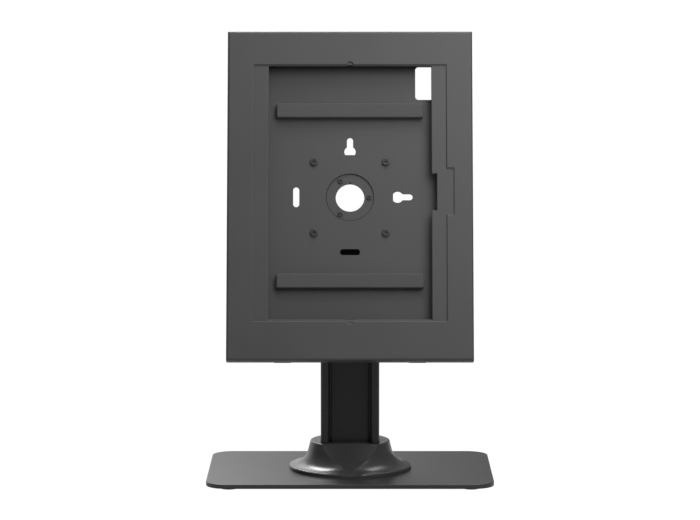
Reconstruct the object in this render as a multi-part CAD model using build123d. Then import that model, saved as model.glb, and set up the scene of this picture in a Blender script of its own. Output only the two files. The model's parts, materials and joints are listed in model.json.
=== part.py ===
from build123d import *
import os
from math import cos, radians, sin, sqrt

# Tablet security kiosk stand: a heavy foot plate, a black extruded column with a flared collar, a
# tilting and turning head, and a lockable sheet steel enclosure for a 12.9 inch tablet.
# Millimetres. X runs to the right, Y away from the viewer, Z up. The origin is on the table, under
# the middle of the foot plate and of the column.

# Shared values
overrun = 4.0
running_gap = 0.05
screw_gap = 0.05
face_gap = 0.1
sheet = 1.5
base_centre = (Align.CENTER, Align.CENTER, Align.MIN)

# Crossed recess and rounded rim of a pan head screw, as shares of the head's radius or height
recess_arm_share = 0.62
recess_width_share = 0.14
recess_floor_share = 0.25
head_round_share = 0.33

# Foot plate and its rubber feet
plate_width = 300.0
plate_depth = 200.0
plate_thickness = 4.5
plate_corner_radius = 22.5
plate_edge_round = 0.6
foot_radius = 9.5
foot_height = 3.5
foot_edge_round = 0.9
foot_inset = 24.0

# Extruded column: two round nosed rails joined by a hollow core, with a channel front and rear
column_width = 62.0
column_depth = 46.0
column_length = 236.0
rail_width = 9.5
front_floor = 8.0
rear_floor = 5.5
column_wall = 2.5
port_from_axis = 17.0
rib_width = 1.5
rib_height = 1.5
rail_chamber_width = 5.0
rail_chamber_depth = 22.0

# Clip-in covers of the two channels
cover_width = 39.0
cover_thickness = 2.0
front_cover_face = 12.0
rear_cover_face = 21.0
cover_leg_width = 2.0
cover_leg_from_axis = 16.0
cover_leg_gap = 0.3
cover_edge_round = 0.4
cable_window_width = 22.0
cable_window_height = 14.0
cable_window_above_collar = 6.0

# Flared collar over the column's foot, an outline of radii and heights above the foot plate
collar_height = 30.0
collar_top_radius = 42.0
collar_throat_radius = 47.8
collar_throat_height = 7.1
collar_throat_round = 20.0
collar_lip_radius = 64.9
collar_lip_height = 3.9
collar_lip_round = 1.5
collar_rim_round = 1.0
collar_wall = 2.5
collar_throat_inset_share = 0.82
collar_gap = 0.3
scoop_radius = 110.0
scoop_cross_radius = 115.0
scoop_start_from_axis = 23.5
scoop_tip_radius = 51.3
scoop_tip_height = 8.4

# M5 countersunk screws at both ends of the column
column_screw_radius = 2.5
column_screw_head_radius = 4.6
column_screw_head_gap = 0.1
column_screw_length = 20.0
column_screw_socket_radius = 1.6
column_screw_socket_depth = 1.6

# Column head with the lug that carries the tilt bolt
head_plate_thickness = 4.0
pivot_above_head_plate = 14.0
lug_half_width = 15.0
lug_radius = 12.0
cable_notch_width = 26.0
cable_notch_gap = 0.5

# Tilt hinge: M8 bolt, washers and nut
tilt_bolt_radius = 4.0
tilt_bolt_head_radius = 7.5
tilt_bolt_head_height = 5.3
tilt_nut_height = 8.0
tilt_thread_spare = 2.0
tilt_washer_radius = 9.0
tilt_washer_thickness = 1.5
outer_washer_radius = 8.5
outer_washer_thickness = 1.6

# Hub arm: two ears, a flange and the hollow journal on which the enclosure turns
ear_thickness = 6.0
ear_radius = 12.0
ear_root_above = 4.0
ear_root_below = 38.0
flange_radius = 33.0
flange_thickness = 4.0
flange_skirt = 40.0
flange_corner_radius = 6.0
web_thickness = 6.0
web_reach = 11.0
journal_radius = 22.5
cable_bore_radius = 15.0

# Enclosure's lean, and the hub centre's place from the tilt bolt, along the panel and out of it
lean_angle = 15.0
hub_rise = 28.4
hub_reach = 42.3

# Nylon washer, retaining ring and its screws, and the pin that stops the quarter turn
swivel_washer_radius = 27.0
swivel_washer_thickness = 0.6
ring_radius = 24.5
ring_thickness = 1.5
ring_seat_gap = 0.6
ring_screw_circle = 20.2
ring_screw_count = 3
ring_screw_radius = 1.5
ring_screw_head_radius = 2.75
ring_screw_head_height = 1.5
ring_screw_length = 5.5
ring_notch_radius = 1.2
stop_pin_radius = 2.0
stop_pin_circle = 29.5
stop_pin_gap = 0.3
stop_play_angle = 2.0
quarter_turn_angle = 90.0

# Mounting plate with the 75 mm square of screws
vesa_plate_size = 90.0
vesa_plate_thickness = 3.0
vesa_plate_corner_radius = 3.0
vesa_spacing = 75.0
vesa_screw_radius = 2.0
vesa_screw_head_radius = 4.15
vesa_screw_head_height = 2.3
vesa_screw_length = 4.4
vesa_hole_gap = 0.2

# Tablet of the 12.9 inch class, lying upright, and the rise of its middle above the hub
tablet_width = 214.9
tablet_height = 280.6
tablet_gap = 0.5
window_rise = 2.5

# Front frame: bezel and four walls from one folded sheet, stated by its margins from the tablet
frame_side_margin = 20.55
frame_end_margin = 33.2
frame_depth = 20.0
frame_face = 17.0
frame_bend_radius = 2.5
window_side_lap = 7.0
window_end_lap = 5.3
window_edge_round = 1.0
window_notch_radius = 3.1
frame_notch_depth = 7.55
frame_notch_height = 49.0
frame_notch_rise = 0.9

# Size adapter mask behind the bezel, and how far it shows inside the window
mask_side_margin = 9.55
mask_end_margin = 10.0
mask_side_reveal = 15.55
mask_top_reveal = 1.1
mask_bottom_reveal = 1.65
mask_edge_round = 0.9
mask_notch_radius = 10.4
mask_notch_depth = 1.0
mask_side_notch_depth = 5.4
mask_side_notch_height = 38.6
mask_side_notch_rise = 2.85
stud_radius = 1.5
stud_gap = 0.2
stud_length = 5.0
stud_edge_distance = 4.5
stud_across = 50.0
stud_along = 75.0
stud_nut_radius = 3.2
stud_nut_height = 2.4

# Back panel, a shallow tray inside the frame
tray_gap = 0.8
tray_flange = 10.0
tray_bend_radius = 1.2
hub_hole_radius = 25.1
slot_half_width = 3.2
keyhole_radius = 5.95
top_keyhole_entry = 48.0
top_keyhole_end = 59.7
side_keyhole_entry = 49.75
side_keyhole_end = 62.2
side_slot_place = 56.2
bottom_slot_place = 58.0
slot_length = 21.0
camera_window_left = 68.5
camera_window_width = 34.3
camera_window_bottom = 103.6
camera_window_height = 35.1
camera_window_radius = 3.5

# Foam bars and the tablet's corner guides
foam_length = 153.0
foam_height = 15.0
foam_thickness = 8.0
foam_from_hub = 90.0
foam_rise = 0.85
guide_wall = 6.0
guide_leg = 22.0
guide_height = 12.0
guide_round = 0.8

# Hinge between the tray and the frame, along the bottom edge at the rear
hinge_from_wall = 3.0
hinge_behind_panel = 3.5
hinge_pin_radius = 1.25
hinge_leaf_thickness = 1.2
hinge_leaf_depth = 15.0
hinge_from_middle = 70.0
tray_knuckle_radius = 2.6
tray_knuckle_length = 10.0
frame_knuckle_radius = 3.2
frame_knuckle_length = 17.7
knuckle_gap = 0.3
pin_overhang = 1.0

# Cam lock in the top margin and the catch on the frame
lock_rise = 154.0
lock_barrel_radius = 6.0
lock_hole_gap = 0.1
lock_head_radius = 8.0
lock_head_height = 2.5
lock_head_round = 0.6
lock_barrel_reach = 5.0
lock_nut_radius = 9.2
lock_nut_height = 2.5
plug_radius = 4.0
keyway_width = 1.2
keyway_length = 5.0
keyway_depth = 3.0
cam_thickness = 2.0
cam_half_width = 4.5
cam_reach = 13.5
cam_square = 4.0
cam_square_gap = 0.05
cam_screw_radius = 1.25
cam_screw_head_radius = 2.9
cam_screw_head_height = 1.5
cam_screw_length = 4.0
catch_half_width = 8.0
catch_sheet = 1.2
catch_lip = 6.7
catch_foot = 9.0
catch_cam_gap = 0.3
catch_flange_gap = 0.5

# Places that follow from the sizes above
plate_top = foot_height + plate_thickness
column_top = plate_top + column_length
head_top = column_top + head_plate_thickness
pivot_height = head_top + pivot_above_head_plate
rail_radius = rail_width / 2
channel_half_width = column_width / 2 - rail_width
port_x = column_width / 2 - rail_width / 2
lean_sin = sin(radians(lean_angle))
lean_cos = cos(radians(lean_angle))
hub_y = hub_rise * lean_sin - hub_reach * lean_cos
hub_z = pivot_height + hub_rise * lean_cos + hub_reach * lean_sin

# The enclosure's own frame: X as the stand's, Y up along the panel, Z out of its front face. Its
# origin is the hub centre on the front face of the back panel.
enclosure_place = Plane(origin=(0, hub_y, hub_z), x_dir=(1, 0, 0), z_dir=(0, -lean_cos, lean_sin)).location
vesa_rear = -sheet - vesa_plate_thickness
flange_front = vesa_rear - swivel_washer_thickness
flange_rear = flange_front - flange_thickness
ring_front = -sheet
ring_seat = ring_front - ring_thickness
frame_width = tablet_width + 2 * frame_side_margin
frame_height = tablet_height + 2 * frame_end_margin
window_width = tablet_width - 2 * window_side_lap
window_height = tablet_height - 2 * window_end_lap
mask_width = tablet_width + 2 * mask_side_margin
mask_height = tablet_height + 2 * mask_end_margin
mask_opening_width = window_width - 2 * mask_side_reveal
mask_opening_top = window_rise + window_height / 2 - mask_top_reveal
mask_opening_bottom = window_height / 2 - window_rise - mask_bottom_reveal
frame_rear = frame_face - frame_depth
frame_inner_face = frame_face - sheet
mask_rear = frame_inner_face - sheet
frame_half_width = frame_width / 2
frame_half_height = frame_height / 2
wall_inner_y = frame_half_height - sheet
tray_half_width = frame_half_width - sheet - tray_gap
tray_half_height = wall_inner_y - tray_gap
hinge_y = hinge_from_wall - wall_inner_y
hinge_z = -sheet - hinge_behind_panel
cam_low = lock_barrel_reach + face_gap
cam_high = cam_low + cam_thickness
ear_inner = lug_half_width + tilt_washer_thickness + face_gap
ear_outer = ear_inner + ear_thickness
lock_place = enclosure_place * Pos(0, lock_rise, 0)


def block(low, high):
    """A box between two corners."""
    size = [b - a for a, b in zip(low, high)]
    return Pos(*low) * Box(*size, align=Align.MIN)


def disc(radius, low, high, x=0, y=0):
    """A round bar along Z between two heights."""
    return Pos(x, y, low) * Cylinder(radius, high - low, align=base_centre)


def hexagon(radius, low, high, x=0, y=0):
    """A six sided bar along Z, its radius taken to the corners."""
    return Pos(x, y, low) * extrude(RegularPolygon(radius, 6), high - low)


def cross_bar(radius, low, high, y, z):
    """A round bar along X between two places."""
    bar = Cylinder(radius, high - low, align=base_centre)
    return Pos(low, y, z) * Rot(0, quarter_turn_angle, 0) * bar


def cross_hexagon(radius, low, high, y, z):
    """A six sided bar along X between two places."""
    bar = extrude(RegularPolygon(radius, 6), high - low)
    return Pos(low, y, z) * Rot(0, quarter_turn_angle, 0) * bar


def union(shapes):
    """One solid from touching pieces."""
    pieces = list(shapes)
    return pieces[0].fuse(*pieces[1:]).clean()


def pan_screw(radius, head_radius, head_height, length):
    """A pan head screw, its head above Z zero and its shank below, with a crossed recess."""
    head = disc(head_radius, 0, head_height)
    head = fillet(head.edges().group_by(Axis.Z)[-1], head_height * head_round_share)
    shank = disc(radius, -length, 0)
    screw = union([head, shank])
    arm = head_radius * recess_arm_share
    thin = head_radius * recess_width_share
    floor = head_height * recess_floor_share
    for size_x, size_y in ((arm, thin), (thin, arm)):
        screw -= block((-size_x, -size_y, floor), (size_x, size_y, head_height + overrun))
    return screw


def countersunk_screw(radius, head_radius, length, socket_radius, socket_depth):
    """A countersunk screw, its flat head at Z zero and its shank above, with a six sided socket."""
    cone_height = head_radius - radius
    head = Cone(head_radius, radius, cone_height, align=base_centre)
    shank = disc(radius, cone_height, length)
    return union([head, shank]) - hexagon(socket_radius, -overrun, socket_depth)


def countersink(radius, head_radius, gap, depth):
    """The hole for a countersunk screw whose head is flush at Z zero."""
    cone_height = head_radius - radius
    cone = Cone(head_radius + gap, radius + gap, cone_height, align=base_centre)
    mouth = disc(head_radius + gap, -overrun, 0)
    shank = disc(radius + gap, 0, depth + overrun)
    return union([cone, mouth, shank])


def column_screw_hole(depth):
    return countersink(column_screw_radius, column_screw_head_radius, column_screw_head_gap, depth)


def ports():
    """The four screw ports of the column, seen from above."""
    return [(x * port_x, y * port_from_axis) for x in (-1, 1) for y in (-1, 1)]


def column_outline(gap=0):
    """The column's outer outline: a rectangle with a round nose on each of the four rail ends."""
    straight = column_depth / 2 - rail_radius
    outline = Rectangle(column_width + 2 * gap, 2 * straight)
    for x in (-1, 1):
        for y in (-1, 1):
            outline += Pos(x * port_x, y * straight) * Circle(rail_radius + gap)
    return outline


def channel(face, floor, gap=0):
    """The flat space of the front (face negative) or rear channel, between the rails."""
    low = min(face, floor)
    high = max(face, floor)
    width = 2 * (channel_half_width - gap)
    return Pos(0, (low + high) / 2) * Rectangle(width, high - low)


def column_profile():
    """The column's section: rails, channels, ribs for the covers and the hollow core."""
    profile = column_outline()
    profile -= channel(-column_depth, -front_floor)
    profile -= channel(column_depth, rear_floor)
    rib_x = cover_leg_from_axis + cover_leg_gap + rib_width / 2
    for x in (-rib_x, rib_x):
        profile += Pos(x, -front_floor - rib_height / 2) * Rectangle(rib_width, rib_height)
        profile += Pos(x, rear_floor + rib_height / 2) * Rectangle(rib_width, rib_height)
    chamber_width = channel_half_width - column_wall
    chamber_depth = front_floor + rear_floor - 2 * column_wall
    for x in (-1, 1):
        chamber_x = x * (column_wall + chamber_width) / 2
        profile -= Pos(chamber_x, (rear_floor - front_floor) / 2) * Rectangle(chamber_width, chamber_depth)
        profile -= Pos(x * port_x, 0) * Rectangle(rail_chamber_width, rail_chamber_depth)
    for x, y in ports():
        profile -= Pos(x, y) * Circle(column_screw_radius + screw_gap)
    return profile


def base_plate():
    plate = extrude(RectangleRounded(plate_width, plate_depth, plate_corner_radius), plate_thickness)
    rims = plate.edges().group_by(Axis.Z)
    plate = fillet(rims[0] + rims[-1], plate_edge_round)
    for x, y in ports():
        plate -= Pos(x, y, 0) * column_screw_hole(plate_thickness)
    return Pos(0, 0, foot_height) * plate


def rubber_feet():
    foot = disc(foot_radius, 0, foot_height)
    foot = fillet(foot.edges().group_by(Axis.Z)[0], foot_edge_round)
    feet = []
    for x in (-1, 1):
        for y in (-1, 1):
            place = Pos(x * (plate_width / 2 - foot_inset), y * (plate_depth / 2 - foot_inset), 0)
            feet.append(place * foot)
    return Compound(feet)


def column():
    return Pos(0, 0, plate_top) * extrude(column_profile(), column_length)


def channel_cover(face, floor, side):
    """A clip-in cover: a strip between the rails on two legs that reach the channel's floor."""
    plate_low = face - cover_thickness
    strip = block((-cover_width / 2, plate_low, 0), (cover_width / 2, face, column_length))
    strip = fillet(strip.edges().filter_by(Axis.Z).group_by(Axis.Y)[-1], cover_edge_round)
    parts = [strip]
    for x in (-cover_leg_from_axis, cover_leg_from_axis - cover_leg_width):
        parts.append(block((x, floor, 0), (x + cover_leg_width, plate_low, column_length)))
    cover = union(parts)
    if side < 0:
        cover = cover.mirror(Plane.XZ)
    return Pos(0, 0, plate_top) * cover


def front_cover():
    return channel_cover(front_cover_face, front_floor, -1)


def rear_cover():
    """The rear cover, with the window where a cable leaves above the collar."""
    cover = channel_cover(rear_cover_face, rear_floor, 1)
    low_z = plate_top + collar_height + cable_window_above_collar
    half = cable_window_width / 2
    low = (-half, rear_cover_face - cover_thickness - overrun, low_z)
    high = (half, rear_cover_face + overrun, low_z + cable_window_height)
    return cover - block(low, high)


def scoop(extra):
    """The barrel shaped tool of the hollow in the collar's front, grown by the wall for its inside."""
    start_z = plate_top + collar_height
    tip_z = plate_top + scoop_tip_height
    run = scoop_tip_radius - scoop_start_from_axis
    drop = start_z - tip_z
    chord = sqrt(run * run + drop * drop)
    lift = sqrt(scoop_radius * scoop_radius - chord * chord / 4)
    centre_y = -(scoop_start_from_axis + scoop_tip_radius) / 2 - lift * drop / chord
    centre_z = (start_z + tip_z) / 2 + lift * run / chord
    half_length = collar_top_radius
    radius = scoop_radius + extra
    cross = scoop_cross_radius + extra
    end_radius = radius - cross + sqrt(cross * cross - half_length * half_length)
    left_end = (-half_length, end_radius)
    right_end = (half_length, end_radius)
    outline = Polyline(right_end, (half_length, 0), (-half_length, 0), left_end)
    crown = ThreePointArc(left_end, (0, radius), right_end)
    barrel = revolve(make_face(outline + crown), Axis.X)
    return Pos(0, centre_y, centre_z) * barrel


def flare(inset, rounded):
    """The collar's turned shape, drawn in by a wall thickness for its inside."""
    throat_inset = inset * collar_throat_inset_share
    throat = (collar_throat_radius - throat_inset, collar_throat_height - throat_inset)
    lip = (collar_lip_radius - inset, collar_lip_height - inset)
    rim = (collar_top_radius - inset, collar_height - inset)
    outline = Polyline((0, 0), (lip[0], 0), lip, throat, rim, (0, rim[1]), (0, 0))
    rounds = [(throat, collar_throat_round)]
    if rounded:
        rounds += [(lip, collar_lip_round), (rim, collar_rim_round)]
    face = make_face(outline)
    for corner, size in rounds:
        face = fillet(face.vertices().sort_by_distance(corner)[:1], size)
    return revolve(Plane.XZ * face, Axis.Z)


def collar():
    """A moulded shell that slips over the column, hollowed at the front by the scoop."""
    solid = Pos(0, 0, plate_top) * flare(0, True) - scoop(0)
    hollow = Pos(0, 0, plate_top - overrun) * disc(collar_lip_radius - collar_wall, 0, overrun)
    hollow += Pos(0, 0, plate_top) * flare(collar_wall, False) - scoop(collar_wall)
    hole = column_outline(collar_gap)
    hole -= channel(-column_depth, -front_cover_face - collar_gap, collar_gap)
    hole += channel(rear_cover_face + collar_gap, 0)
    shell = solid - hollow
    return shell - Pos(0, 0, plate_top) * extrude(hole, collar_height + overrun)


def column_screws(place, turned):
    screw = countersunk_screw(
        column_screw_radius,
        column_screw_head_radius,
        column_screw_length,
        column_screw_socket_radius,
        column_screw_socket_depth,
    )
    if turned:
        screw = Rot(2 * quarter_turn_angle, 0, 0) * screw
    return Compound([Pos(x, y, place) * screw for x, y in ports()])


def column_head():
    """The cast cap of the column, with the lug for the tilt bolt and a notch for the cable."""
    outline = column_outline() + channel(rear_cover_face, 0)
    plate = extrude(outline, head_plate_thickness)
    notch_start = lug_radius + cable_notch_gap
    notch_low = (-cable_notch_width / 2, notch_start, -overrun)
    plate -= block(notch_low, (cable_notch_width / 2, column_depth, head_plate_thickness + overrun))
    for x, y in ports():
        hole = Rot(2 * quarter_turn_angle, 0, 0) * column_screw_hole(head_plate_thickness)
        plate -= Pos(x, y, head_plate_thickness) * hole
    plate = Pos(0, 0, column_top) * plate
    stem_low = (-lug_half_width, -lug_radius, column_top)
    stem = block(stem_low, (lug_half_width, lug_radius, pivot_height))
    barrel = cross_bar(lug_radius, -lug_half_width, lug_half_width, 0, pivot_height)
    lug = union([plate, stem, barrel])
    reach = lug_half_width + overrun
    return lug - cross_bar(tilt_bolt_radius + running_gap, -reach, reach, 0, pivot_height)


def ring_piece(outer, inner, low, high):
    return disc(outer, low, high) - disc(inner, low - overrun, high + overrun)


def tilt_washer(side):
    """The nylon washer between the lug and an ear."""
    washer = ring_piece(tilt_washer_radius, tilt_bolt_radius + running_gap, 0, tilt_washer_thickness)
    start = lug_half_width if side > 0 else -lug_half_width - tilt_washer_thickness
    return Pos(start, 0, pivot_height) * Rot(0, quarter_turn_angle, 0) * washer


def tilt_washers():
    return Compound([tilt_washer(-1), tilt_washer(1)])


def ear(start):
    """One ear of the hub arm, a plate whose edges run from the flange round the tilt bolt."""
    end = Pos(-hub_rise, -hub_reach) * Circle(ear_radius)
    root = Polyline((ear_root_above, flange_rear), (-ear_root_below, flange_rear))
    outline = make_hull(end.edges() + root.edges())
    return extrude(Plane.YZ.offset(start) * outline, ear_thickness)


def hub_arm():
    disc_part = disc(flange_radius, flange_rear, flange_front)
    skirt_shape = RectangleRounded(2 * ear_outer, 2 * flange_skirt, flange_corner_radius)
    skirt = Pos(0, 0, flange_rear) * extrude(skirt_shape, flange_thickness)
    half = flange_skirt + overrun
    skirt -= block((-half, 0, flange_rear - overrun), (half, half, flange_front + overrun))
    journal = disc(journal_radius, flange_rear, ring_seat)
    web_y = flange_corner_radius - flange_skirt
    web_low = (-ear_outer, web_y, flange_rear - web_reach)
    web = block(web_low, (ear_outer, web_y + web_thickness, flange_front))
    arm = union([disc_part, skirt, journal, ear(-ear_outer), ear(ear_inner), web])
    arm -= disc(cable_bore_radius, flange_rear - overrun, ring_seat + overrun)
    reach = ear_outer + overrun
    arm -= cross_bar(tilt_bolt_radius + running_gap, -reach, reach, -hub_rise, -hub_reach)
    for x, y in ring_screw_places():
        arm -= disc(ring_screw_radius + screw_gap, flange_rear - overrun, ring_seat + overrun, x, y)
    pin_hole_radius = stop_pin_radius + screw_gap
    arm -= disc(pin_hole_radius, flange_rear - overrun, flange_front + overrun, 0, stop_pin_circle)
    return enclosure_place * arm


def ring_screw_places():
    step = 360 / ring_screw_count
    angles = [radians(step * i) for i in range(ring_screw_count)]
    return [(ring_screw_circle * cos(a), ring_screw_circle * sin(a)) for a in angles]


def tilt_bolt():
    """The hinge bolt, its six sided head at the left and its threaded end at the right."""
    head_start = -ear_outer - outer_washer_thickness - tilt_bolt_head_height
    head_end = head_start + tilt_bolt_head_height
    end = ear_outer + outer_washer_thickness + tilt_nut_height + tilt_thread_spare
    head = cross_hexagon(tilt_bolt_head_radius, head_start, head_end, 0, pivot_height)
    return union([head, cross_bar(tilt_bolt_radius, head_end, end, 0, pivot_height)])


def tilt_nut():
    start = ear_outer + outer_washer_thickness
    end = start + tilt_nut_height
    nut = cross_hexagon(tilt_bolt_head_radius, start, end, 0, pivot_height)
    bore_radius = tilt_bolt_radius + screw_gap
    return nut - cross_bar(bore_radius, start - overrun, end + overrun, 0, pivot_height)


def outer_washers():
    washer = ring_piece(outer_washer_radius, tilt_bolt_radius + screw_gap, 0, outer_washer_thickness)
    washer = Rot(0, quarter_turn_angle, 0) * washer
    places = (-ear_outer - outer_washer_thickness, ear_outer)
    return Compound([Pos(x, 0, pivot_height) * washer for x in places])


def swivel_washer():
    low = flange_front
    washer = ring_piece(swivel_washer_radius, journal_radius + screw_gap, low, vesa_rear - running_gap)
    return enclosure_place * washer


def hub_ring():
    """The retaining ring in the hub hole, with its cable bore and a small witness notch on top."""
    ring = ring_piece(ring_radius, cable_bore_radius, ring_seat, ring_front)
    ring -= disc(ring_notch_radius, ring_seat - overrun, ring_front + overrun, 0, cable_bore_radius)
    for x, y in ring_screw_places():
        ring -= disc(ring_screw_radius + screw_gap, ring_seat - overrun, ring_front + overrun, x, y)
    return enclosure_place * ring


def hub_ring_screws():
    screw = pan_screw(ring_screw_radius, ring_screw_head_radius, ring_screw_head_height, ring_screw_length)
    return Compound([enclosure_place * Pos(x, y, ring_front) * screw for x, y in ring_screw_places()])


def rotation_stop_pin():
    pin = disc(stop_pin_radius, flange_rear, ring_front - stop_pin_gap, 0, stop_pin_circle)
    return enclosure_place * pin


def vesa_places():
    half = vesa_spacing / 2
    return [(x * half, y * half) for x in (-1, 1) for y in (-1, 1)]


def stop_slot():
    """The arc that the stop pin runs in, open for a quarter turn and a little play."""
    half_width = stop_pin_radius + stop_pin_gap
    span = quarter_turn_angle + 2 * stop_play_angle
    return SlotArc(CenterArc((0, 0), stop_pin_circle, -stop_play_angle, span), 2 * half_width)


def vesa_plate():
    low = vesa_rear
    high = -sheet
    outline = RectangleRounded(vesa_plate_size, vesa_plate_size, vesa_plate_corner_radius)
    plate = Pos(0, 0, low) * extrude(outline, high - low)
    plate -= disc(journal_radius + running_gap, low - overrun, high + overrun)
    plate -= disc(ring_radius + ring_seat_gap, ring_seat - running_gap, high + overrun)
    for x, y in vesa_places():
        plate -= disc(vesa_screw_radius + screw_gap, low - overrun, high + overrun, x, y)
    plate -= Pos(0, 0, low - overrun) * extrude(stop_slot(), high - low + 2 * overrun)
    return enclosure_place * plate


def vesa_screws():
    screw = pan_screw(vesa_screw_radius, vesa_screw_head_radius, vesa_screw_head_height, vesa_screw_length)
    return Compound([enclosure_place * Pos(x, y, 0) * screw for x, y in vesa_places()])


def keyhole(entry, end):
    """A keyhole along X: a round entry and a narrow slot that runs out to its hanging end."""
    shape = Pos(entry, 0) * Circle(keyhole_radius)
    shape += Pos((entry + end) / 2, 0) * Rectangle(end - entry, 2 * slot_half_width)
    return shape + Pos(end, 0) * Circle(slot_half_width)


def panel_cuts():
    """All holes of the back panel, drawn on its plane."""
    cuts = Circle(hub_hole_radius)
    cuts += Rot(0, 0, quarter_turn_angle) * keyhole(top_keyhole_entry, top_keyhole_end)
    cuts += keyhole(side_keyhole_entry, side_keyhole_end)
    slot = SlotOverall(slot_length, 2 * slot_half_width)
    cuts += Pos(-side_slot_place, 0) * Rot(0, 0, quarter_turn_angle) * slot
    cuts += Pos(0, -bottom_slot_place) * slot
    camera_x = camera_window_left + camera_window_width / 2
    camera_y = camera_window_bottom + camera_window_height / 2
    window = RectangleRounded(camera_window_width, camera_window_height, camera_window_radius)
    cuts += Pos(camera_x, camera_y) * window
    cuts += Pos(0, lock_rise) * Circle(lock_barrel_radius + lock_hole_gap)
    for x, y in vesa_places():
        cuts += Pos(x, y) * Circle(vesa_screw_radius + vesa_hole_gap)
    return cuts


def back_panel():
    """The back panel, a tray with a low flange on all four sides."""
    low = (-tray_half_width, -tray_half_height, -sheet)
    tray = block(low, (tray_half_width, tray_half_height, tray_flange))
    tray = fillet(tray.edges().group_by(Axis.Z)[0], tray_bend_radius)
    inner_x = tray_half_width - sheet
    inner_y = tray_half_height - sheet
    tray -= block((-inner_x, -inner_y, 0), (inner_x, inner_y, tray_flange + overrun))
    tray -= Pos(0, 0, -sheet - overrun) * extrude(panel_cuts(), sheet + 2 * overrun)
    return enclosure_place * tray


def foam_bar(side):
    centre = side * foam_from_hub + foam_rise
    low = (-foam_length / 2, centre - foam_height / 2, 0)
    return enclosure_place * block(low, (foam_length / 2, centre + foam_height / 2, foam_thickness))


def tablet_guides():
    """Four moulded corners that keep the tablet central behind the window."""
    inner_x = tablet_width / 2 + tablet_gap
    inner_y = tablet_height / 2 + tablet_gap
    guides = []
    for x in (-1, 1):
        for y in (-1, 1):
            corner = (inner_x + guide_wall - guide_leg, inner_y + guide_wall - guide_leg, 0)
            guide = block(corner, (inner_x + guide_wall, inner_y + guide_wall, guide_height))
            guide -= block((0, 0, -overrun), (inner_x, inner_y, guide_height + overrun))
            guide = fillet(guide.edges().filter_by(Axis.Z), guide_round)
            if x < 0:
                guide = guide.mirror(Plane.YZ)
            if y < 0:
                guide = guide.mirror(Plane.XZ)
            guides.append(enclosure_place * Pos(0, window_rise, 0) * guide)
    return Compound(guides)


def hinge_middles():
    return (-hinge_from_middle, hinge_from_middle)


def hinge_leaf(middle):
    """The tray's half of a hinge: a leaf on the panel's rear, rolled round the pin at both ends."""
    half = frame_knuckle_length / 2 + knuckle_gap + tray_knuckle_length
    leaf_top = -sheet
    leaf_low = leaf_top - hinge_leaf_thickness
    clear = frame_knuckle_radius + knuckle_gap
    leaf_end = hinge_y + hinge_leaf_depth
    pieces = [block((middle - half, hinge_y + clear, leaf_low), (middle + half, leaf_end, leaf_top))]
    for start in (middle - half, middle + half - tray_knuckle_length):
        end = start + tray_knuckle_length
        pieces.append(cross_bar(tray_knuckle_radius, start, end, hinge_y, hinge_z))
        pieces.append(block((start, hinge_y, leaf_low), (end, leaf_end, leaf_top)))
    reach = half + overrun
    bore = cross_bar(hinge_pin_radius + screw_gap, middle - reach, middle + reach, hinge_y, hinge_z)
    return enclosure_place * (union(pieces) - bore)


def hinge_leaves():
    return Compound([hinge_leaf(middle) for middle in hinge_middles()])


def hinge_pins():
    half = frame_knuckle_length / 2 + knuckle_gap + tray_knuckle_length + pin_overhang
    pins = [cross_bar(hinge_pin_radius, m - half, m + half, hinge_y, hinge_z) for m in hinge_middles()]
    return Compound([enclosure_place * pin for pin in pins])


def frame_knuckles():
    """The frame's half of the hinges, rolled from tabs of its bottom wall."""
    pieces = []
    half = frame_knuckle_length / 2
    reach = frame_knuckle_radius / 2
    for middle in hinge_middles():
        pieces.append(cross_bar(frame_knuckle_radius, middle - half, middle + half, hinge_y, hinge_z))
        low = (middle - half, -frame_half_height, hinge_z - reach)
        pieces.append(block(low, (middle + half, hinge_y, hinge_z + reach)))
        pieces.append(block(low, (middle + half, -wall_inner_y, frame_rear + sheet)))
    return pieces


def window_shape():
    """The bezel's window: a rectangle with a notch in the middle of three sides."""
    shape = Rectangle(window_width, window_height)
    for y in (-1, 1):
        shape += Pos(0, y * window_height / 2) * Circle(window_notch_radius)
    side_notch = Rectangle(2 * frame_notch_depth, frame_notch_height)
    shape += Pos(window_width / 2, frame_notch_rise) * side_notch
    return Pos(0, window_rise) * shape


def opening_rim(solid, face, reach_x, reach_y):
    """The edges of an opening on a front face, told from the outer ones by their distance."""
    rim = solid.edges().filter_by_position(Axis.Z, face - face_gap / 2, face + face_gap / 2)
    rim = rim.filter_by_position(Axis.X, -reach_x - face_gap, reach_x + face_gap)
    return rim.filter_by_position(Axis.Y, -reach_y, reach_y)


def front_frame():
    low = (-frame_half_width, -frame_half_height, frame_rear)
    frame = block(low, (frame_half_width, frame_half_height, frame_face))
    frame = fillet(frame.edges().group_by(Axis.Z)[-1], frame_bend_radius)
    inner_x = frame_half_width - sheet
    low = (-inner_x, -wall_inner_y, frame_rear - overrun)
    inside = block(low, (inner_x, wall_inner_y, frame_inner_face))
    inside = fillet(inside.edges().group_by(Axis.Z)[-1], frame_bend_radius - sheet)
    frame -= inside
    frame = union([frame] + frame_knuckles())
    reach = frame_half_width
    frame -= cross_bar(hinge_pin_radius + running_gap, -reach, reach, hinge_y, hinge_z)
    frame -= Pos(0, 0, frame_inner_face - overrun) * extrude(window_shape(), sheet + 2 * overrun)
    rim_x = window_width / 2 + frame_notch_depth
    rim_y = frame_half_height - frame_bend_radius - face_gap
    rim = opening_rim(frame, frame_face, rim_x, rim_y)
    return enclosure_place * fillet(rim, window_edge_round)


def stud_places():
    """The places of the eight welded studs that hold the mask behind the bezel."""
    side_x = mask_width / 2 - stud_edge_distance
    end_y = mask_height / 2 - stud_edge_distance
    places = [(x * side_x, window_rise + y * stud_along) for x in (-1, 1) for y in (-1, 1)]
    return places + [(x * stud_across, window_rise + y * end_y) for x in (-1, 1) for y in (-1, 1)]


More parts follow.
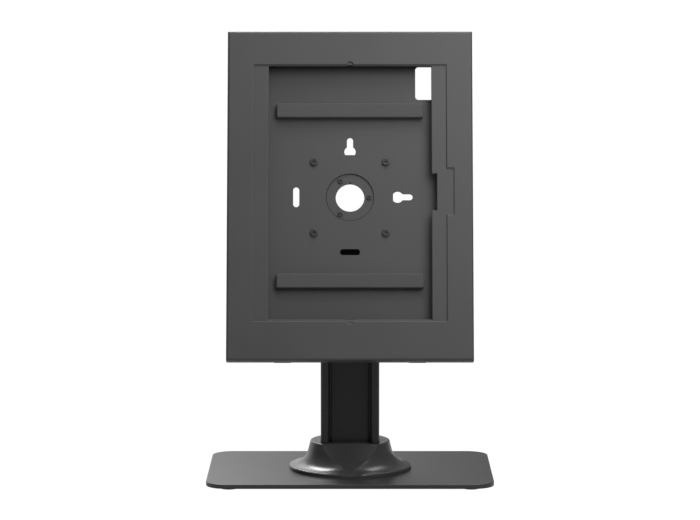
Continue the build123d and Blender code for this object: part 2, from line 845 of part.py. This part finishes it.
def mask():
    """The size adapter: a flat ring whose smaller opening shows inside the bezel's window."""
    plate = Pos(0, window_rise) * Rectangle(mask_width, mask_height)
    opening_height = mask_opening_top + mask_opening_bottom
    opening_middle = (mask_opening_top - mask_opening_bottom) / 2
    opening = Pos(0, opening_middle) * Rectangle(mask_opening_width, opening_height)
    arc_inset = mask_notch_radius - mask_notch_depth
    for y in (arc_inset - mask_opening_bottom, mask_opening_top - arc_inset):
        opening += Pos(0, y) * Circle(mask_notch_radius)
    side_notch = Rectangle(2 * mask_side_notch_depth, mask_side_notch_height)
    opening += Pos(mask_opening_width / 2, mask_side_notch_rise) * side_notch
    ring = Pos(0, 0, mask_rear) * extrude(plate - opening, sheet)
    rim_x = mask_opening_width / 2 + mask_side_notch_depth
    rim_y = mask_height / 2 - stud_edge_distance
    ring = fillet(opening_rim(ring, frame_inner_face, rim_x, rim_y), mask_edge_round)
    for x, y in stud_places():
        ring -= disc(stud_radius + stud_gap, mask_rear - overrun, frame_inner_face + overrun, x, y)
    return enclosure_place * ring


def mask_studs():
    low = frame_inner_face - stud_length
    studs = [disc(stud_radius, low, frame_inner_face, x, y) for x, y in stud_places()]
    return Compound([enclosure_place * stud for stud in studs])


def mask_nuts():
    nuts = []
    low = mask_rear - stud_nut_height
    for x, y in stud_places():
        nut = hexagon(stud_nut_radius, low, mask_rear, x, y)
        nut -= disc(stud_radius + screw_gap, low - overrun, mask_rear + overrun, x, y)
        nuts.append(enclosure_place * nut)
    return Compound(nuts)


def lock_body():
    """The lock's housing, pushed in from behind until its head meets the panel."""
    head = disc(lock_head_radius, -sheet - lock_head_height, -sheet)
    head = fillet(head.edges().group_by(Axis.Z)[0], lock_head_round)
    body = union([head, disc(lock_barrel_radius, -sheet, lock_barrel_reach)])
    low = -sheet - lock_head_height - overrun
    return lock_place * (body - disc(plug_radius + running_gap, low, lock_barrel_reach + overrun))


def lock_nut():
    nut = hexagon(lock_nut_radius, 0, lock_nut_height)
    nut -= disc(lock_barrel_radius + screw_gap, -overrun, lock_nut_height + overrun)
    return lock_place * nut


def lock_plug():
    """The turning plug, with its keyway behind and the square that drives the cam."""
    low = -sheet - lock_head_height
    plug = disc(plug_radius, low, cam_low)
    half = cam_square / 2
    plug = union([plug, block((-half, -half, cam_low), (half, half, cam_high))])
    key_x = keyway_width / 2
    key_y = keyway_length / 2
    keyway = block((-key_x, -key_y, low - overrun), (key_x, key_y, low + keyway_depth))
    thread = disc(cam_screw_radius + screw_gap, cam_high - cam_screw_length, cam_high + overrun)
    return lock_place * (plug - keyway - thread)


def lock_cam():
    """The cam, lying to the side when unlocked."""
    length = cam_reach + cam_half_width
    shape = Pos((cam_reach - cam_half_width) / 2, 0) * SlotOverall(length, 2 * cam_half_width)
    side = cam_square + 2 * cam_square_gap
    shape -= Rectangle(side, side)
    return lock_place * Pos(0, 0, cam_low) * extrude(shape, cam_thickness)


def lock_cam_screw():
    screw = pan_screw(cam_screw_radius, cam_screw_head_radius, cam_screw_head_height, cam_screw_length)
    return lock_place * Pos(0, 0, cam_high) * screw


def lock_catch():
    """The bent catch on the bezel's inside, whose lip lies behind the turned cam."""
    leg_high = tray_half_height - sheet - catch_flange_gap
    leg_low = leg_high - catch_sheet
    lip_high = cam_low - catch_cam_gap
    lip_low = lip_high - catch_sheet
    half = catch_half_width
    leg = block((-half, leg_low, lip_low), (half, leg_high, frame_inner_face))
    lip = block((-half, leg_high - catch_lip, lip_low), (half, leg_high, lip_high))
    foot_low = (-half, leg_high - catch_foot, frame_inner_face - catch_sheet)
    foot = block(foot_low, (half, leg_high, frame_inner_face))
    return enclosure_place * union([leg, lip, foot])


def build_nodes():
    """Every separate piece of the stand, by the name of its file."""
    return {
        "base_plate": base_plate(),
        "rubber_feet": rubber_feet(),
        "collar": collar(),
        "column": column(),
        "front_cover": front_cover(),
        "rear_cover": rear_cover(),
        "column_screws_lower": column_screws(foot_height, False),
        "column_screws_upper": column_screws(head_top, True),
        "column_head": column_head(),
        "tilt_washers": tilt_washers(),
        "hub_arm": hub_arm(),
        "tilt_bolt": tilt_bolt(),
        "tilt_nut": tilt_nut(),
        "outer_washers": outer_washers(),
        "swivel_washer": swivel_washer(),
        "hub_ring": hub_ring(),
        "hub_ring_screws": hub_ring_screws(),
        "rotation_stop_pin": rotation_stop_pin(),
        "vesa_plate": vesa_plate(),
        "vesa_screws": vesa_screws(),
        "back_panel": back_panel(),
        "foam_bar_top": foam_bar(1),
        "foam_bar_bottom": foam_bar(-1),
        "tablet_guides": tablet_guides(),
        "hinge_leaves": hinge_leaves(),
        "hinge_pins": hinge_pins(),
        "front_frame": front_frame(),
        "mask": mask(),
        "mask_studs": mask_studs(),
        "mask_nuts": mask_nuts(),
        "lock_catch": lock_catch(),
        "lock_body": lock_body(),
        "lock_nut": lock_nut(),
        "lock_plug": lock_plug(),
        "lock_cam": lock_cam(),
        "lock_cam_screw": lock_cam_screw(),
    }


os.makedirs("parts", exist_ok=True)
for name, shape in build_nodes().items():
    export_step(shape, os.path.join("parts", name + ".step"))
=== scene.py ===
import json
from math import pi, radians

import bpy
import numpy as np
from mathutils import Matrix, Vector


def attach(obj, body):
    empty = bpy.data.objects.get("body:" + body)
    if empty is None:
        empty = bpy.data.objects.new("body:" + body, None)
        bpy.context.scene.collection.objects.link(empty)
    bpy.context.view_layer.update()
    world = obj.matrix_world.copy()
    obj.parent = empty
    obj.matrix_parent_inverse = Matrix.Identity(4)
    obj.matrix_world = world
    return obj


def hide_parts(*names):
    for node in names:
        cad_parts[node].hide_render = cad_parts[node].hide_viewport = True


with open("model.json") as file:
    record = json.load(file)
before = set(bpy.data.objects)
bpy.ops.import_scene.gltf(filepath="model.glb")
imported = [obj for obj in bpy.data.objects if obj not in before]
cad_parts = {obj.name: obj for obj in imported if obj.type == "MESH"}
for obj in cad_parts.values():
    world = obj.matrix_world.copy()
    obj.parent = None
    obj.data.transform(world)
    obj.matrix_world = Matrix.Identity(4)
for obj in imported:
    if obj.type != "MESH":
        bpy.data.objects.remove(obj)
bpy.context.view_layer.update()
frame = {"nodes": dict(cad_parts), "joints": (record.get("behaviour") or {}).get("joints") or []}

# Studio: one wide pale floor that also fills the background, a dim world whose reflection is
# bright behind the stand at the left, and soft lamps. None of it is part of the object.
floor_half_width = 60.0
floor_colour = (0.35, 0.35, 0.35, 1.0)
white = (1.0, 1.0, 1.0, 1.0)
floor_white = 1.12
floor_seen_share = 0.9
floor_mirrored_share = 0.4
world_fill = 0.03
world_front_gloss = 0.17
world_back_left_gloss = 0.95
world_back_right_gloss = 0.12
back_gloss_start = 0.35
back_gloss_full = 0.85
side_change = 0.07


def add_node(tree, kind, **settings):
    """A node of that kind, with its settings made and its unlinked inputs filled by name."""
    node = tree.nodes.new("ShaderNode" + kind)
    for name, value in settings.items():
        if hasattr(node, name):
            setattr(node, name, value)
        else:
            node.inputs[name.replace("_", " ")].default_value = value
    return node


def new_material(name):
    """A node material with nothing in it but its output."""
    material = bpy.data.materials.new(name)
    material.use_nodes = True
    material.node_tree.nodes.clear()
    output = add_node(material.node_tree, "OutputMaterial")
    return material, material.node_tree, output


floor_material, tree, output = new_material("studio_floor")
floor_shade = add_node(tree, "BsdfDiffuse", Color=floor_colour)
floor_glow = add_node(tree, "Emission", Color=white, Strength=floor_white)
light_path = add_node(tree, "LightPath")
seen = add_node(tree, "Math", operation="MAXIMUM")
seen_share = add_node(tree, "Math", operation="MULTIPLY")
seen_share.inputs[1].default_value = floor_seen_share
mirrored_share = add_node(tree, "Math", operation="MULTIPLY")
mirrored_share.inputs[1].default_value = floor_mirrored_share
glow_share = add_node(tree, "Math", operation="MAXIMUM")
floor_mix = add_node(tree, "MixShader")
tree.links.new(light_path.outputs["Is Camera Ray"], seen.inputs[0])
tree.links.new(light_path.outputs["Is Transmission Ray"], seen.inputs[1])
tree.links.new(seen.outputs[0], seen_share.inputs[0])
tree.links.new(light_path.outputs["Is Glossy Ray"], mirrored_share.inputs[0])
tree.links.new(seen_share.outputs[0], glow_share.inputs[0])
tree.links.new(mirrored_share.outputs[0], glow_share.inputs[1])
tree.links.new(glow_share.outputs[0], floor_mix.inputs[0])
tree.links.new(floor_shade.outputs[0], floor_mix.inputs[1])
tree.links.new(floor_glow.outputs[0], floor_mix.inputs[2])
tree.links.new(floor_mix.outputs[0], output.inputs["Surface"])

floor_mesh = bpy.data.meshes.new("floor")
corners = floor_half_width * np.array([(-1, -1, 0), (1, -1, 0), (1, 1, 0), (-1, 1, 0)], float)
floor_mesh.from_pydata(corners.tolist(), [], [(0, 1, 2, 3)])
floor_mesh.materials.append(floor_material)
floor = bpy.data.objects.new("floor", floor_mesh)
bpy.context.scene.collection.objects.link(floor)

world = bpy.data.worlds.new("studio_world")
world.use_nodes = True
bpy.context.scene.world = world
tree = world.node_tree
tree.nodes.clear()
direction = add_node(tree, "TexCoord")
parts = add_node(tree, "SeparateXYZ")
back_share = add_node(tree, "MapRange", interpolation_type="SMOOTHSTEP")
back_share.inputs["From Min"].default_value = back_gloss_start
back_share.inputs["From Max"].default_value = back_gloss_full
right_share = add_node(tree, "MapRange", interpolation_type="SMOOTHSTEP")
right_share.inputs["From Min"].default_value = -side_change
right_share.inputs["From Max"].default_value = side_change
back_gloss = add_node(tree, "Mix", data_type="FLOAT")
back_gloss.inputs[2].default_value = world_back_left_gloss
back_gloss.inputs[3].default_value = world_back_right_gloss
gloss = add_node(tree, "Mix", data_type="FLOAT")
gloss.inputs[2].default_value = world_front_gloss
light_path = add_node(tree, "LightPath")
level = add_node(tree, "Mix", data_type="FLOAT")
level.inputs[2].default_value = world_fill
clear = add_node(tree, "Math", operation="MAXIMUM")
seen_level = add_node(tree, "Mix", data_type="FLOAT")
seen_level.inputs[3].default_value = 1.0
background = add_node(tree, "Background", Color=white)
output = add_node(tree, "OutputWorld")
tree.links.new(direction.outputs["Generated"], parts.inputs[0])
tree.links.new(parts.outputs["Y"], back_share.inputs["Value"])
tree.links.new(parts.outputs["X"], right_share.inputs["Value"])
tree.links.new(right_share.outputs[0], back_gloss.inputs[0])
tree.links.new(back_share.outputs[0], gloss.inputs[0])
tree.links.new(back_gloss.outputs[0], gloss.inputs[3])
tree.links.new(light_path.outputs["Is Glossy Ray"], level.inputs[0])
tree.links.new(gloss.outputs[0], level.inputs[3])
tree.links.new(light_path.outputs["Is Camera Ray"], clear.inputs[0])
tree.links.new(light_path.outputs["Is Transmission Ray"], clear.inputs[1])
tree.links.new(clear.outputs[0], seen_level.inputs[0])
tree.links.new(level.outputs[0], seen_level.inputs[2])
tree.links.new(seen_level.outputs[0], background.inputs["Strength"])
tree.links.new(background.outputs[0], output.inputs["Surface"])


def add_lamp(name, place, aim, width, height, power):
    """A soft rectangular lamp that faces the point it is aimed at."""
    data = bpy.data.lights.new(name, "AREA")
    data.shape = "RECTANGLE"
    data.size = width
    data.size_y = height
    data.energy = power
    lamp = bpy.data.objects.new(name, data)
    lamp.location = place
    lamp.rotation_mode = "QUATERNION"
    lamp.rotation_quaternion = (Vector(aim) - Vector(place)).to_track_quat("-Z", "Y")
    lamp.visible_camera = False
    bpy.context.scene.collection.objects.link(lamp)


stand_middle = (0.0, 0.0, 0.28)
stand_foot = (0.0, 0.0, 0.05)
add_lamp("key", (0.38, -0.71, 0.86), stand_middle, width=0.5, height=0.7, power=5.1)
add_lamp("overhead", (0.15, -0.28, 1.75), stand_middle, width=1.1, height=0.9, power=15.0)
add_lamp("back_left", (-0.40, 0.81, 1.23), stand_foot, width=0.45, height=0.7, power=14.0)
add_lamp("back_low", (-0.40, 1.10, 0.75), stand_foot, width=0.5, height=0.6, power=1.3)
add_lamp("back_right", (0.42, 0.66, 1.28), stand_foot, width=0.6, height=0.35, power=3.0)

# Camera: in front of the stand and a little above it, looking slightly down, as measured from the
# photograph. Its field of view is in image widths, so it doesn't depend on the render's size.
image_width = 700
focal_pixels = 3045.0
sensor = 36.0
camera_place = (0.0, -3.2014, 0.5953)
camera_pitch = radians(6.5)

camera_data = bpy.data.cameras.new("camera")
camera_data.sensor_fit = "HORIZONTAL"
camera_data.sensor_width = sensor
camera_data.lens = sensor * focal_pixels / image_width
camera_data.clip_start = 0.1
camera_data.clip_end = 200.0
camera = bpy.data.objects.new("camera", camera_data)
camera.location = camera_place
camera.rotation_euler = (pi / 2 - camera_pitch, 0.0, 0.0)
bpy.context.scene.collection.objects.link(camera)
bpy.context.scene.camera = camera
bpy.context.scene.view_settings.view_transform = "Standard"

# Enclosure: bezel frame, size mask, tray, mounting plate, retaining ring and hinge leaves are bent
# or cut from 1.5 mm sheet steel and powder coated in anthracite, a fine grain like orange peel.
enclosure_nodes = ("front_frame", "mask", "back_panel", "vesa_plate", "hub_ring", "hinge_leaves")
enclosure_dark = (0.062, 0.062, 0.063, 1.0)
enclosure_light = (0.078, 0.078, 0.079, 1.0)
enclosure_roughness = (0.46, 0.56)
enclosure_grain = 0.0009
enclosure_grain_depth = 0.00003
tone_rate = 14.0


def shader_group(name, inputs, outputs):
    """A node group with named number inputs and outputs, and its two end nodes."""
    group = bpy.data.node_groups.new(name, "ShaderNodeTree")
    for socket in inputs:
        group.interface.new_socket(name=socket, in_out="INPUT", socket_type="NodeSocketFloat")
    for socket in outputs:
        group.interface.new_socket(name=socket, in_out="OUTPUT", socket_type="NodeSocketFloat")
    start = group.nodes.new("NodeGroupInput")
    end = group.nodes.new("NodeGroupOutput")
    return group, start, end


def grain_group():
    """Powder grain on Object coordinates: the height of its small bumps, which are a noise of the
    given size in metres with a finer one on top, and a slow tone from 0 to 1 that drifts over a
    hand's width."""
    group, start, end = shader_group("powder_grain", ["Size"], ["Height", "Tone"])
    place = add_node(group, "TexCoord")
    rate = add_node(group, "Math", operation="DIVIDE")
    rate.inputs[0].default_value = 1.0
    bumps = add_node(group, "TexNoise", Detail=3.0, Roughness=0.55)
    tone = add_node(group, "TexNoise", Scale=tone_rate, Detail=3.0, Roughness=0.5)
    group.links.new(start.outputs["Size"], rate.inputs[1])
    group.links.new(rate.outputs[0], bumps.inputs["Scale"])
    group.links.new(place.outputs["Object"], bumps.inputs["Vector"])
    group.links.new(place.outputs["Object"], tone.inputs["Vector"])
    group.links.new(bumps.outputs[0], end.inputs["Height"])
    group.links.new(tone.outputs[0], end.inputs["Tone"])
    return group


powder_grain = grain_group()


def place_group(tree, group, **values):
    """One group in a material, with its own values."""
    node = tree.nodes.new("ShaderNodeGroup")
    node.node_tree = group
    for name, value in values.items():
        node.inputs[name].default_value = value
    return node


def coat_material(name, group, size, dark, light, roughness, depth, metallic=0.0):
    """A finish whose colour and roughness drift with the group's tone and whose bumps are its
    height times the depth in metres."""
    material, tree, output = new_material(name)
    pattern = place_group(tree, group, Size=size)
    colour = add_node(tree, "Mix", data_type="RGBA")
    colour.inputs[6].default_value = dark
    colour.inputs[7].default_value = light
    gloss = add_node(tree, "MapRange")
    gloss.inputs["To Min"].default_value = roughness[0]
    gloss.inputs["To Max"].default_value = roughness[1]
    bump = add_node(tree, "Bump", Strength=1.0, Distance=depth)
    surface = add_node(tree, "BsdfPrincipled")
    surface.inputs["Metallic"].default_value = metallic
    tree.links.new(pattern.outputs["Tone"], colour.inputs[0])
    tree.links.new(pattern.outputs["Tone"], gloss.inputs["Value"])
    tree.links.new(pattern.outputs["Height"], bump.inputs["Height"])
    tree.links.new(colour.outputs[2], surface.inputs["Base Color"])
    tree.links.new(gloss.outputs[0], surface.inputs["Roughness"])
    tree.links.new(bump.outputs[0], surface.inputs["Normal"])
    tree.links.new(surface.outputs[0], output.inputs["Surface"])
    return material


def dress(nodes, material):
    """Gives CAD pieces their finish."""
    for name in nodes:
        data = frame["nodes"][name].data
        data.materials.clear()
        data.materials.append(material)


enclosure_coat = coat_material(
    "enclosure_coat",
    powder_grain,
    enclosure_grain,
    enclosure_dark,
    enclosure_light,
    enclosure_roughness,
    enclosure_grain_depth,
)
dress(enclosure_nodes, enclosure_coat)

# Foot plate: laser cut 4.5 mm steel with a smoother, glossier powder coat of the same anthracite,
# so that it mirrors the bright backdrop softly at a low angle.
plate_dark = (0.024, 0.024, 0.0245, 1.0)
plate_light = (0.030, 0.030, 0.0305, 1.0)
plate_roughness = (0.31, 0.37)
plate_grain = 0.0007
plate_grain_depth = 0.000012

base_coat = coat_material(
    "base_coat",
    powder_grain,
    plate_grain,
    plate_dark,
    plate_light,
    plate_roughness,
    plate_grain_depth,
)
dress(["base_plate"], base_coat)

# Rubber feet: four moulded discs glued under the corners of the plate. They are matt and nearly
# black, and keep the steel off the counter.
rubber_dark = (0.010, 0.010, 0.010, 1.0)
rubber_light = (0.018, 0.018, 0.018, 1.0)
rubber_grain = 0.0012
rubber_roughness = (0.7, 0.85)
rubber_grain_depth = 0.00005
rubber = coat_material(
    "rubber",
    powder_grain,
    rubber_grain,
    rubber_dark,
    rubber_light,
    rubber_roughness,
    rubber_grain_depth,
)
dress(["rubber_feet"], rubber)

# Column: an aluminium extrusion with a channel in front and behind, sawn to length and black
# anodised. Fine lines from the die run along it, and screws in its ports hold foot and head.
anodised_dark = (0.008, 0.008, 0.008, 1.0)
anodised_light = (0.013, 0.013, 0.013, 1.0)
die_line_width = 0.0011
die_line_depth = 0.00001
die_line_stretch = 0.01
die_line_tone_rate = 60.0
anodised_roughness = (0.34, 0.44)


def die_line_group():
    """Die lines on Object coordinates: a noise of the given width in metres that is drawn out
    along Z, and a slow tone."""
    group, start, end = shader_group("die_lines", ["Size"], ["Height", "Tone"])
    place = add_node(group, "TexCoord")
    stretch = add_node(group, "Mapping")
    stretch.inputs["Scale"].default_value = (1.0, 1.0, die_line_stretch)
    rate = add_node(group, "Math", operation="DIVIDE")
    rate.inputs[0].default_value = 1.0
    lines = add_node(group, "TexNoise", Detail=2.0, Roughness=0.6)
    tone = add_node(group, "TexNoise", Scale=die_line_tone_rate, Detail=2.0)
    group.links.new(start.outputs["Size"], rate.inputs[1])
    group.links.new(rate.outputs[0], lines.inputs["Scale"])
    group.links.new(place.outputs["Object"], stretch.inputs["Vector"])
    group.links.new(stretch.outputs[0], lines.inputs["Vector"])
    group.links.new(stretch.outputs[0], tone.inputs["Vector"])
    group.links.new(lines.outputs[0], end.inputs["Height"])
    group.links.new(tone.outputs[0], end.inputs["Tone"])
    return group


die_lines = die_line_group()
anodised = coat_material(
    "black_anodised",
    die_lines,
    die_line_width,
    anodised_dark,
    anodised_light,
    anodised_roughness,
    die_line_depth,
)
dress(["column"], anodised)

# Channel covers and the tablet's corner guides: matt black plastic with a fine grain. The covers
# clip into the column's channels, and the guides are moulded and stuck into the tray's corners.
plastic_dark = (0.010, 0.010, 0.010, 1.0)
plastic_light = (0.014, 0.014, 0.014, 1.0)
plastic_grain = 0.0008
plastic_roughness = (0.5, 0.6)
plastic_grain_depth = 0.00002
cover_plastic = coat_material(
    "cover_plastic",
    powder_grain,
    plastic_grain,
    plastic_dark,
    plastic_light,
    plastic_roughness,
    plastic_grain_depth,
)
dress(["front_cover", "rear_cover", "tablet_guides"], cover_plastic)

# Collar: a moulded shell in satin anthracite plastic, slipped over the column. It is smoother
# than the powder coat, so it shows the lamps as soft streaks.
collar_dark = (0.060, 0.060, 0.061, 1.0)
collar_light = (0.072, 0.072, 0.073, 1.0)
collar_grain = 0.0006
collar_roughness = (0.24, 0.29)
collar_grain_depth = 0.00001
collar_plastic = coat_material(
    "collar_plastic",
    powder_grain,
    collar_grain,
    collar_dark,
    collar_light,
    collar_roughness,
    collar_grain_depth,
)
dress(["collar"], collar_plastic)

# Column head and hub arm: zinc castings under a black coat, with a coarser skin than the sheet.
# The head is screwed to the column's top, and the arm turns between its cheeks on one bolt.
cast_dark = (0.012, 0.012, 0.012, 1.0)
cast_light = (0.018, 0.018, 0.018, 1.0)
cast_grain = 0.0014
cast_roughness = (0.45, 0.58)
cast_grain_depth = 0.00005
cast_black = coat_material(
    "cast_black",
    powder_grain,
    cast_grain,
    cast_dark,
    cast_light,
    cast_roughness,
    cast_grain_depth,
)
dress(["column_head", "hub_arm"], cast_black)

# Screws, tilt bolt and nut, outer washers and stop pin: cold formed and blackened steel, smooth
# and a little worn where a key or spanner has held them.
black_steel_nodes = (
    "column_screws_lower",
    "column_screws_upper",
    "tilt_bolt",
    "tilt_nut",
    "outer_washers",
    "hub_ring_screws",
    "vesa_screws",
    "rotation_stop_pin",
)
steel_dark = (0.044, 0.044, 0.045, 1.0)
steel_light = (0.058, 0.058, 0.059, 1.0)
steel_grain = 0.0010
steel_roughness = (0.30, 0.42)
steel_grain_depth = 0.00001
black_steel = coat_material(
    "black_steel",
    powder_grain,
    steel_grain,
    steel_dark,
    steel_light,
    steel_roughness,
    steel_grain_depth,
)
dress(black_steel_nodes, black_steel)

# Friction washers of the tilt bolt and the hub: stamped from natural nylon sheet, slightly milky.
# They lie loose between the castings and the sheet steel.
nylon_dark = (0.50, 0.50, 0.46, 1.0)
nylon_light = (0.60, 0.60, 0.56, 1.0)
nylon_grain = 0.0010
nylon_roughness = (0.4, 0.5)
nylon_grain_depth = 0.00001
nylon = coat_material(
    "nylon",
    powder_grain,
    nylon_grain,
    nylon_dark,
    nylon_light,
    nylon_roughness,
    nylon_grain_depth,
)
dress(["tilt_washers", "swivel_washer"], nylon)

# Hinge pins, mask studs and nuts, lock catch and cam: zinc plated steel. The pins and studs are
# drawn wire, and the catch and cam are stamped and folded.
zinc_dark = (0.42, 0.42, 0.43, 1.0)
zinc_light = (0.56, 0.56, 0.57, 1.0)
zinc_grain = 0.0016
zinc_roughness = (0.28, 0.4)
zinc_grain_depth = 0.00001
bright_steel = coat_material(
    "bright_steel",
    powder_grain,
    zinc_grain,
    zinc_dark,
    zinc_light,
    zinc_roughness,
    zinc_grain_depth,
    metallic=1.0,
)
dress(
    ["hinge_pins", "mask_studs", "mask_nuts", "lock_catch", "lock_cam", "lock_cam_screw"],
    bright_steel,
)

# Lock: housing, nut and plug turned from brass and chrome plated. The housing passes the tray's
# wall, and the nut clamps it from inside.
chrome_dark = (0.62, 0.62, 0.63, 1.0)
chrome_light = (0.72, 0.72, 0.73, 1.0)
chrome_grain = 0.0020
chrome_roughness = (0.1, 0.16)
chrome_grain_depth = 0.000004
lock_chrome = coat_material(
    "lock_chrome",
    powder_grain,
    chrome_grain,
    chrome_dark,
    chrome_light,
    chrome_roughness,
    chrome_grain_depth,
    metallic=1.0,
)
dress(["lock_body", "lock_nut", "lock_plug"], lock_chrome)

# Foam bars: two strips of dense dark foam stuck across the tray, above and below the hub, that
# press the tablet forward. Each is cut from 8 mm sheet, so its edges are soft and its cells open.
foam_length = 0.153
foam_height = 0.015
foam_thickness = 0.008
foam_from_hub = 0.090
foam_rise = 0.00085
foam_round = 0.0011
foam_step = 0.0006
foam_cell_depth = 0.00006
foam_dark = (0.078, 0.078, 0.079, 1.0)
foam_light = (0.098, 0.098, 0.099, 1.0)
foam_grain = 0.0005
foam_roughness = (0.8, 0.9)
foam_grain_depth = 0.00012
foam_seed = 12
round_points = 5

turn_joint = next(joint for joint in frame["joints"] if joint["name"] == "turn")
hub_centre = np.array(turn_joint["pos_m"], float)
panel_out = np.array(turn_joint["axis"], float)
panel_across = np.array((1.0, 0.0, 0.0))
panel_up = np.cross(panel_out, panel_across)


def panel_to_world(across, up, out):
    """Points given across, up and out of the tray's front face, in the stand's frame."""
    return (
        hub_centre
        + across[..., None] * panel_across
        + up[..., None] * panel_up
        + out[..., None] * panel_out
    )


def rounded_ring(half_up, half_out, radius, step):
    """Points round a rectangle with rounded corners: straight runs at the given step between
    quarter circles. Gives each point's place and its outward direction."""
    arc = np.linspace(0.0, pi / 2, round_points)
    places, normals = [], []
    signs = ((1, 1), (-1, 1), (-1, -1), (1, -1))
    for turn, (side_up, side_out) in enumerate(signs):
        angle = arc + turn * pi / 2
        middle = np.array((side_up * (half_up - radius), side_out * (half_out - radius)))
        heading = np.stack((np.cos(angle), np.sin(angle)), axis=1)
        places.append(middle + radius * heading)
        normals.append(heading)
    corners, headings = [], []
    for turn in range(4):
        corners.append(places[turn])
        headings.append(normals[turn])
        start, end = places[turn][-1], places[(turn + 1) % 4][0]
        count = max(int(np.linalg.norm(end - start) / step), 1)
        share = (np.arange(1, count) / count)[:, None]
        corners.append(start + (end - start) * share)
        headings.append(np.repeat(normals[turn][-1:], count - 1, axis=0))
    return np.concatenate(corners), np.concatenate(headings)


def grid_faces(rings, around):
    """Quads between rings of points that close on themselves."""
    ring = np.arange(rings - 1)[:, None] * around
    here = np.arange(around)[None, :]
    after = (here + 1) % around
    above = ring + around
    quads = np.stack((ring + here, ring + after, above + after, above + here), axis=-1)
    return quads.reshape(-1, 4)


def add_mesh(name, points, faces, material):
    """A piece from points and a list of faces."""
    data = bpy.data.meshes.new(name)
    data.from_pydata(points.tolist(), [], [tuple(face) for face in faces])
    data.update()
    data.materials.append(material)
    data.polygons.foreach_set("use_smooth", np.full(len(data.polygons), True))
    piece = bpy.data.objects.new(name, data)
    bpy.context.scene.collection.objects.link(piece)
    return piece


def foam_strip(name, middle_up, material):
    """A strip: a rounded rectangle carried along X, drawn in at both ends by a quarter circle and
    closed by a fan, with its free faces sunk by a seeded noise of cell size."""
    random = np.random.default_rng(foam_seed)
    section, heading = rounded_ring(foam_height / 2, foam_thickness / 2, foam_round, foam_step)
    curl = np.linspace(0.0, pi / 2, round_points)
    rise = foam_round * (1.0 - np.cos(curl))
    inset = foam_round * (1.0 - np.sin(curl))
    half = foam_length / 2
    count = int((foam_length - 2 * foam_round) / foam_step)
    middle = np.linspace(-half + foam_round, half - foam_round, count)[1:-1]
    along = np.concatenate((-half + rise, middle, (half - rise)[::-1]))
    drawn = np.concatenate((inset, np.zeros(len(middle)), inset[::-1]))
    cells = random.random((len(along), len(section)))
    cells = (cells + np.roll(cells, 1, axis=1) + np.roll(cells, 1, axis=0)) / 3
    free = np.clip(section[:, 1] + foam_thickness / 2, 0.0, foam_round) / foam_round
    sunk = drawn[:, None] + foam_cell_depth * cells * free[None, :]
    up = middle_up + section[None, :, 0] - sunk * heading[None, :, 0]
    out = foam_thickness / 2 + section[None, :, 1] - sunk * heading[None, :, 1]
    across = np.repeat(along[:, None], len(section), axis=1)
    points = panel_to_world(across, up, out).reshape(-1, 3)
    ends = panel_to_world(
        np.array((-half, half)), np.full(2, middle_up), np.full(2, foam_thickness / 2)
    )
    points = np.concatenate((points, ends))
    around = len(section)
    faces = grid_faces(len(along), around)[:, ::-1].tolist()
    here = np.arange(around)
    after = (here + 1) % around
    last = (len(along) - 1) * around
    low_pole, high_pole = len(points) - 2, len(points) - 1
    low_fan = np.stack((np.full(around, low_pole), here, after), axis=1)
    high_fan = np.stack((np.full(around, high_pole), last + after, last + here), axis=1)
    faces += low_fan.tolist() + high_fan.tolist()
    return add_mesh(name, points, faces, material)


foam = coat_material(
    "foam",
    powder_grain,
    foam_grain,
    foam_dark,
    foam_light,
    foam_roughness,
    foam_grain_depth,
)
for side, node in ((1, "foam_bar_top"), (-1, "foam_bar_bottom")):
    strip = foam_strip(node + "_strip", side * foam_from_hub + foam_rise, foam)
    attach(strip, "enclosure")
    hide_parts(node)
